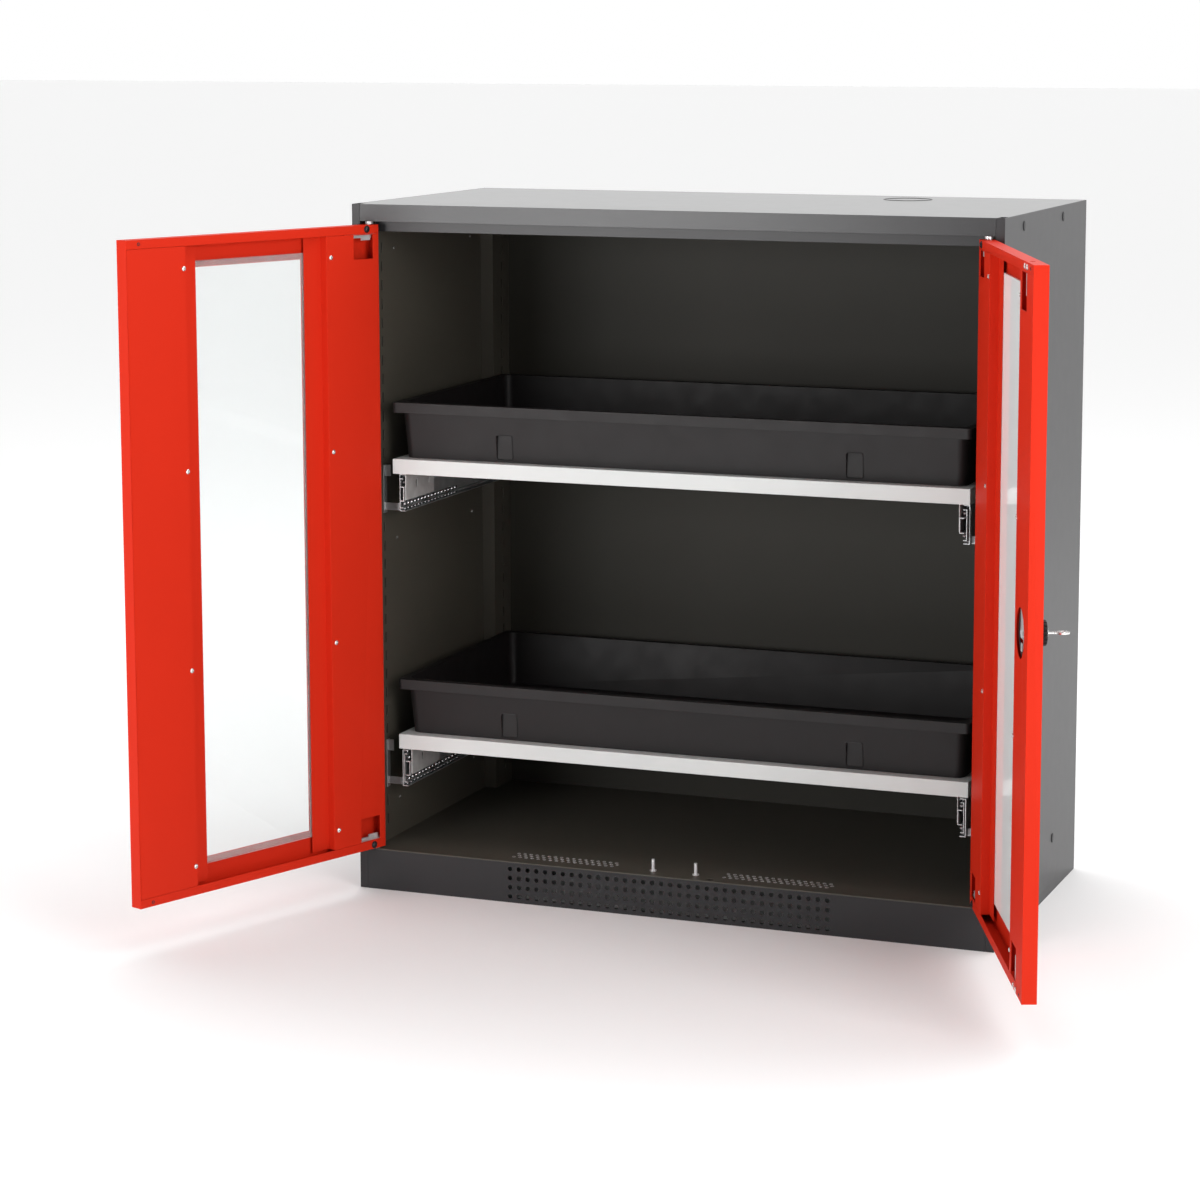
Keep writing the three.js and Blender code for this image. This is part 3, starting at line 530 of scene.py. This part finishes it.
knob = bmesh.new()
lathe(knob, lock_frame(0, -1), [
    (0.0, SPINDLE_END), (SPINDLE_RADIUS, SPINDLE_END), (SPINDLE_RADIUS, GAP),
    (KNOB_FLANGE - 0.0004, GAP), (KNOB_FLANGE, 0.0008), (KNOB_FLANGE, 0.0040),
    (KNOB_FLANGE - 0.0012, 0.0055), (KNOB_RADIUS - 0.0012, 0.0062), (KNOB_RADIUS, 0.0075),
    (KNOB_RADIUS, 0.0128), (KNOB_RADIUS - 0.0009, 0.0143), (KNOB_RADIUS - 0.0030, KNOB_FRONT),
    (0.0112, KNOB_FRONT), (0.0100, 0.0144), (CYLINDER_BORE + 0.0004, 0.0143),
    (CYLINDER_BORE, 0.0139), (CYLINDER_BORE, BORE_FLOOR), (0.0, BORE_FLOOR),
], 144, scallops)
knob_obj = finish_piece(knob, "grip_knob", knob_plastic, "turn_knob")
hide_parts("turn_knob")

KEY_THICK = 0.0022
BLADE_HALF = 0.0038
BLADE_TIP = 0.0072
SHOULDER_HALF = 0.0050
SHOULDER = (0.0262, 0.0282)
BOW_OUT = 0.0372
BOW_HALF = (0.0108, 0.0096)
BOW_STEPS = 24
BOW_START = -58  # degrees; the bow runs on to the same place on the other side
BOW_TURN = 296
TEETH = 5
TOOTH_PITCH = 0.0034
FIRST_TOOTH = 0.0240
BOW_RIM = (0.0030, 0.0068, 0.0003)


def key_outline():
    """Blade with bitting on one edge, shoulders and an oval bow, as (across, out) points."""
    blade = [(BLADE_HALF, BLADE_TIP), (BLADE_HALF, SHOULDER[0] - 0.0012)]
    front = [(SHOULDER_HALF, out) for out in SHOULDER]
    bow = []
    for step in range(BOW_STEPS + 1):
        angle = math.radians(BOW_START + step * BOW_TURN / BOW_STEPS)
        bow.append((BOW_HALF[0] * math.cos(angle), BOW_OUT + BOW_HALF[1] * math.sin(angle)))
    back = [(-SHOULDER_HALF, out) for out in reversed(SHOULDER)]
    bitting = []
    for tooth in range(TEETH):
        out = FIRST_TOOTH - tooth * TOOTH_PITCH
        bitting += [(-BLADE_HALF, out), (-BLADE_HALF, out - 0.0010)]
        bitting += [(0.0012 - BLADE_HALF, out - 0.0019), (0.0012 - BLADE_HALF, out - 0.0025)]
    tip = [(0.0004 - BLADE_HALF, BLADE_TIP)]
    return blade + front + bow + back + bitting + tip


key = bmesh.new()
key_place = lock_frame(0, -1) @ Matrix.Rotation(math.pi / 2, 4, "X")
plate(key, key_place @ Matrix.Translation((0, 0, -KEY_THICK / 2)), key_outline(), KEY_THICK)
for turn in (0, math.pi):
    bow_face = (
        key_place @ Matrix.Translation((0, BOW_OUT, 0)) @ Matrix.Rotation(turn, 4, "X")
        @ Matrix.Translation((0, 0, KEY_THICK / 2))
    )
    washer(key, bow_face, *BOW_RIM)
key_obj = finish_piece(key, "cut_key", nickel, "key_cylinder")
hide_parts("lock_key")

STRAP_V = (0.0176, 0.0194)
STRAP_ENDS = (  # (low, high) corners of each end, from the lock axis
    ((-0.0040, 0.0040), (0.0150, 0.0330)),
    ((-0.0025, -0.0250), (0.0065, -0.0140)),
)
HUB_V = 0.0162
HUB_RADIUS = 0.0080

strap = bmesh.new()
for low, high in STRAP_ENDS:
    block(
        strap, right_space,
        (LOCK_U + low[0], STRAP_V[0], LOCK_Z + low[1]),
        (LOCK_U + high[0], STRAP_V[1], LOCK_Z + high[1]),
    )
lathe(strap, lock_frame(HUB_V, 1), [
    (0.0, 0.0), (HUB_RADIUS, 0.0), (HUB_RADIUS, 0.0028), (HUB_RADIUS - 0.0006, 0.0034),
    (0.0045, 0.0034), (0.0042, 0.0026), (0.0, 0.0026),
], 6)
finish_piece(strap, "lock_strap", zinc, "right_door", 0.0003)

# A black ring behind the inspection hole: painted shade, standing for the dark inside of the hole.
SHADE_RING_V = 0.0164
SHADE_RING = (0.026, 0.034, 0.0011)
shade_ring = bmesh.new()
washer(shade_ring, lock_frame(SHADE_RING_V, 1), *SHADE_RING, 64)
finish_piece(shade_ring, "lock_painted_shade_ring", plug_plastic, "right_door")


# ---------- side panels: hole plugs; top: duct knock-out ----------

PLUG_IN = (0.115, 0.3635)  # back from the front
PLUG_Z = (1.087, 0.090)
PLUG = (0.0078, 0.0016)  # radius and height

for side, sign in SIGN.items():
    plugs = bmesh.new()
    for z in PLUG_Z:
        for y in PLUG_IN:
            dome(plugs, frame_at((sign * HALF, FRONT_Y + y, z), (sign, 0, 0)), *PLUG, 28)
    finish_piece(plugs, f"{side}_side_hole_plugs", plug_plastic, "carcass")

KNOCK_OUT = (0.258, FRONT_Y + 0.422)
KNOCK_RADIUS = 0.038
RING_SECTION = (  # (across, up) from the middle of the ring
    (-0.0016, -0.0002), (-0.0013, 0.0005), (-0.0006, 0.0008),
    (0.0006, 0.0008), (0.0013, 0.0005), (0.0016, -0.0002), (-0.0016, -0.0002),
)
ring = bmesh.new()
ring_profile = [(KNOCK_RADIUS + across, up) for across, up in RING_SECTION]
lathe(ring, Matrix.Translation((*KNOCK_OUT, HEIGHT)), ring_profile, 72)
finish_piece(ring, "duct_knock_out_ring", plug_plastic, "carcass")


# ---------- rivets inside the carcass ----------

INNER_WALL_X = HALF - 0.0248
RIVET_IN = (0.10, 0.40)
RIVET_Z = (0.130, 0.560, 1.030)
RIVET = (0.0022, 0.0010)

rivets = bmesh.new()
for sign in SIGN.values():
    for y in RIVET_IN:
        for z in RIVET_Z:
            dome(rivets, frame_at((sign * INNER_WALL_X, FRONT_Y + y, z), (-sign, 0, 0)), *RIVET)
finish_piece(rivets, "carcass_rivets", nickel, "carcass")


# ---------- slides: balls and cages ----------

BALL_PITCH = 0.013
FIRST_BALL = 0.006
OUTER_RACE = {"x": 0.4643, "z": 0.02625, "ball": 0.0021}  # z above and below the middle line
INNER_RACE = {"x": 0.4617, "z": 0.01725, "ball": 0.0030}
CAGE_START = 0.001
CAGE_SHEET = 0.0006
CAGE_TO_BALL = 0.62  # height of a cage, to a ball's


def ball_race(name, body, sign, slide_z, front, race):
    """The balls along the top and bottom of one race, and the cages that space them."""
    balls, cage = bmesh.new(), bmesh.new()
    x = sign * race["x"]
    half = race["ball"] * CAGE_TO_BALL
    for way in (-1, 1):
        z = slide_z + way * race["z"]
        for step in range(int(SLIDE_STROKE / BALL_PITCH)):
            centre = Matrix.Translation((x, front + FIRST_BALL + step * BALL_PITCH, z))
            bmesh.ops.create_icosphere(balls, subdivisions=2, radius=race["ball"], matrix=centre)
        block(
            cage, Matrix.Identity(4),
            (x - CAGE_SHEET / 2, front + CAGE_START, z - half),
            (x + CAGE_SHEET / 2, front + SLIDE_STROKE, z + half),
        )
    finish_piece(balls, f"{name}_balls", ball_steel, body)
    finish_piece(cage, f"{name}_cage", dark_steel, body)


for shelf, (slide_z, out) in SLIDES.items():
    for side, sign in SIGN.items():
        member = f"{shelf}_{side}_middle_member"
        ball_race(f"{shelf}_{side}_outer", "carcass", sign, slide_z, SLIDE_FRONT, OUTER_RACE)
        ball_race(f"{shelf}_{side}_inner", member, sign, slide_z, SLIDE_FRONT - out / 2, INNER_RACE)


# ---------- moulded rims of the recesses in the tray fronts ----------

RAIL_IN_Y = 0.038  # rail face of a shelf pushed right in, back from the front
TRAY_ABOVE_SLIDE = RAIL_ABOVE_SLIDE + SHELF_RAIL + GAP
TRAY_FOOT_Y = 0.021  # foot of the tray front, behind the rail face
TRAY_SLOPE = 0.1
RECESS_X = 0.288
RECESS_MIDDLE = 0.024
RECESS_SIZE = (0.0285, 0.0405)
RECESS_CORNER = 0.004
RIM_WIDTH = 0.0013
RIM_THICK = 0.0012


def rounded_outline(width, height, radius, steps=6):
    points = []
    for corner, (x, y) in enumerate(((1, 1), (-1, 1), (-1, -1), (1, -1))):
        for step in range(steps + 1):
            angle = math.pi / 2 * (corner + step / steps)
            points.append((
                x * (width / 2 - radius) + radius * math.cos(angle),
                y * (height / 2 - radius) + radius * math.sin(angle),
            ))
    return points


def outline_rim(bm, place, size, radius, width, thick):
    """A flat rim of constant width round a rounded rectangle."""
    outer = rounded_outline(size[0], size[1], radius)
    inner = rounded_outline(size[0] - 2 * width, size[1] - 2 * width, radius - width)
    loops = [
        [bm.verts.new(place @ Vector((x, y, h))) for x, y in points]
        for points, h in ((outer, 0), (outer, thick * 0.6), (inner, thick), (inner, 0))
    ]
    for a, b in zip(loops, loops[1:] + loops[:1]):
        for i in range(len(a)):
            j = (i + 1) % len(a)
            bm.faces.new((a[i], a[j], b[j], b[i]))


for shelf, (slide_z, out) in SLIDES.items():
    rims = bmesh.new()
    y = FRONT_Y + RAIL_IN_Y - out + TRAY_FOOT_Y - TRAY_SLOPE * RECESS_MIDDLE
    z = slide_z + TRAY_ABOVE_SLIDE + RECESS_MIDDLE
    lean = Matrix.Rotation(math.pi / 2 + math.atan(TRAY_SLOPE), 4, "X")
    for sign in SIGN.values():
        place = Matrix.Translation((sign * RECESS_X, y, z)) @ lean
        outline_rim(rims, place, RECESS_SIZE, RECESS_CORNER, RIM_WIDTH, RIM_THICK)
    finish_piece(rims, f"{shelf}_tray_recess_rims", tray_plastic, f"{shelf}_shelf")


# ---------- perforated floor and plinth ----------

def cutter(places, radius, depth, segments):
    """Short round bars along local Z of each place, as one mesh for a cut."""
    bm = bmesh.new()
    for place in places:
        lathe(bm, place, [(0, -depth), (radius, -depth), (radius, depth), (0, depth)], segments)
    bmesh.ops.recalc_face_normals(bm, faces=bm.faces)
    mesh = bpy.data.meshes.new("cutter")
    bm.to_mesh(mesh)
    bm.free()
    obj = bpy.data.objects.new("cutter", mesh)
    scene.collection.objects.link(obj)
    return obj


def perforate(node_name, name, material, places, radius, depth, segments):
    """A copy of a CAD sheet with round holes through it, standing for the CAD node."""
    bm = bmesh.new()
    bm.from_mesh(nodes[node_name].data)
    bmesh.ops.remove_doubles(bm, verts=bm.verts, dist=0.00002)
    sheet = finish_piece(bm, name, material, "carcass")
    tool = cutter(places, radius, depth, segments)
    cut = sheet.modifiers.new("holes", "BOOLEAN")
    cut.operation = "DIFFERENCE"
    cut.solver = "EXACT"
    cut.object = tool
    cut_sheet = sheet.evaluated_get(bpy.context.evaluated_depsgraph_get())
    shape = bpy.data.meshes.new_from_object(cut_sheet)
    sheet.modifiers.clear()
    sheet.data = shape
    bpy.data.objects.remove(tool)
    shape.shade_flat()
    paint(sheet, material)
    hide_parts(node_name)


PLINTH_COLUMNS = 36
PLINTH_ROWS = 4
PLINTH_PITCH_X = 0.0151
PLINTH_PITCH_Z = 0.015
PLINTH_FIRST_Z = 0.010
PLINTH_HOLE = 0.0037
PLINTH_HOLES = [
    frame_at((
        (column - (PLINTH_COLUMNS - 1) / 2) * PLINTH_PITCH_X,
        FRONT_Y + SHEET / 2,
        PLINTH_FIRST_Z + row * PLINTH_PITCH_Z,
    ), (0, -1, 0))
    for row in range(PLINTH_ROWS) for column in range(PLINTH_COLUMNS)
]
perforate(
    "plinth", "perforated_plinth", carcass_paint,
    PLINTH_HOLES, PLINTH_HOLE, depth=0.002, segments=20,
)

FIELD_PITCH = 0.0105
FIELD_COLUMNS = 17
FIELD_ROWS = (0.030, 0.0405, 0.051)  # back from the front
FIELD_STARTS = (-0.270, 0.086)
FIELD_HOLE = 0.0024
HOLE_HIGHLIGHT_RIM = (FIELD_HOLE, 0.0029, 0.00035)  # inner and outer radius, thickness
HOLE_HIGHLIGHT_SUNK = 0.00005
FLOOR_HOLES = [
    frame_at((
        start + (column + 0.5 * (row % 2)) * FIELD_PITCH,
        FRONT_Y + y,
        FLOOR_TOP - SHEET / 2,
    ), (0, 0, 1))
    for start in FIELD_STARTS
    for row, y in enumerate(FIELD_ROWS)
    for column in range(FIELD_COLUMNS)
]
perforate(
    "floor_panel", "perforated_floor", interior_paint,
    FLOOR_HOLES, FIELD_HOLE, depth=0.0012, segments=16,
)

# Raised rims round the floor holes, in bright zinc: painted highlight on the holes' cut edges.
hole_highlight_rims = bmesh.new()
rim_lift = Matrix.Translation((0, 0, SHEET / 2 - HOLE_HIGHLIGHT_SUNK))
for place in FLOOR_HOLES:
    washer(hole_highlight_rims, place @ rim_lift, *HOLE_HIGHLIGHT_RIM, 16)
finish_piece(hole_highlight_rims, "floor_hole_highlight_rims", zinc, "carcass")


# ---------- camera, light and floor ----------

CAMERA_PLACE = (1.7056, -4.8389, 1.3924)
YAW = 0.3608
PITCH = 0.1422

camera = bpy.data.objects.new("camera", bpy.data.cameras.new("camera"))
scene.collection.objects.link(camera)
camera.data.sensor_width = 36
camera.data.lens = 96.587
camera.data.shift_x = -0.0437
camera.data.shift_y = -0.10
camera.data.clip_end = 100
camera.location = CAMERA_PLACE
ahead = Vector((
    -math.sin(YAW) * math.cos(PITCH), math.cos(YAW) * math.cos(PITCH), -math.sin(PITCH),
))
camera.rotation_euler = ahead.to_track_quat("-Z", "Y").to_euler()
scene.camera = camera


def area_light(name, place, target, size, power):
    light = bpy.data.objects.new(name, bpy.data.lights.new(name, "AREA"))
    scene.collection.objects.link(light)
    light.location = place
    light.rotation_euler = (Vector(target) - Vector(place)).to_track_quat("-Z", "Y").to_euler()
    light.data.shape = "RECTANGLE"
    light.data.size, light.data.size_y = size
    light.data.energy = power


area_light("front_softbox", (-1.5, -3.6, 1.0), target=(0, 0, 0.6), size=(1.5, 1.2), power=58)
area_light("right_softbox", (3.2, -2.4, 1.6), target=(-0.6, -0.5, 0.6), size=(2.0, 2.0), power=78)
area_light("overhead", (0.2, 0.4, 4.0), target=(0, 0, 1.0), size=(6.0, 5.0), power=100)

# The backdrop lights the cabinet mostly from behind, and looks white to the camera.
STUDIO_FRONT = 0.16
STUDIO_BACK = 1.45
STUDIO_TURN = (-0.3, 0.6)
scene.world = bpy.data.worlds.new("studio")
scene.world.use_nodes = True
studio = scene.world.node_tree
backdrop = studio.nodes["Background"]
backdrop.inputs["Color"].default_value = (1, 1, 1, 1)
direction = add(studio, "ShaderNodeSeparateXYZ")
studio.links.new(add(studio, "ShaderNodeTexCoord").outputs["Generated"], direction.inputs["Vector"])
sweep = ramp(studio, direction.outputs["Y"], STUDIO_FRONT, STUDIO_BACK, *STUDIO_TURN)
paths = add(studio, "ShaderNodeLightPath")
seen = add(studio, "ShaderNodeMath", operation="MAXIMUM")
studio.links.new(paths.outputs["Is Camera Ray"], seen.inputs[0])
studio.links.new(paths.outputs["Is Transmission Ray"], seen.inputs[1])
level = add(studio, "ShaderNodeMix", data_type="FLOAT")
studio.links.new(seen.outputs["Value"], level.inputs[0])
studio.links.new(sweep, level.inputs[2])
level.inputs[3].default_value = 1.0
studio.links.new(level.outputs[0], backdrop.inputs["Strength"])
scene.view_settings.view_transform = "Standard"

FAR = 60
GLOW = 0.25  # of the floor well away from the cabinet, which hides the horizon
GLOW_RANGE = (0.9, 2.6)

floor_mesh = bpy.data.meshes.new("floor")
floor_mesh.from_pydata(
    [(-FAR, -FAR, 0), (FAR, -FAR, 0), (FAR, FAR, 0), (-FAR, FAR, 0)], [], [(0, 1, 2, 3)]
)
floor = bpy.data.objects.new("floor", floor_mesh)
scene.collection.objects.link(floor)
floor_look, floor_tree, floor_shader = new_material("studio_floor")
floor_shader.inputs["Base Color"].default_value = (0.92, 0.92, 0.92, 1)
floor_shader.inputs["Roughness"].default_value = 0.9
floor_shader.inputs["Emission Color"].default_value = (1, 1, 1, 1)
away = add(floor_tree, "ShaderNodeVectorMath", operation="LENGTH")
floor_tree.links.new(add(floor_tree, "ShaderNodeTexCoord").outputs["Object"], away.inputs[0])
glow = ramp(floor_tree, away.outputs["Value"], 0.0, GLOW, *GLOW_RANGE)
floor_tree.links.new(glow, floor_shader.inputs["Emission Strength"])
floor.data.materials.append(floor_look)
floor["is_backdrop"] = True

# ---------- bounds of the shown objects ---

low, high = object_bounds()
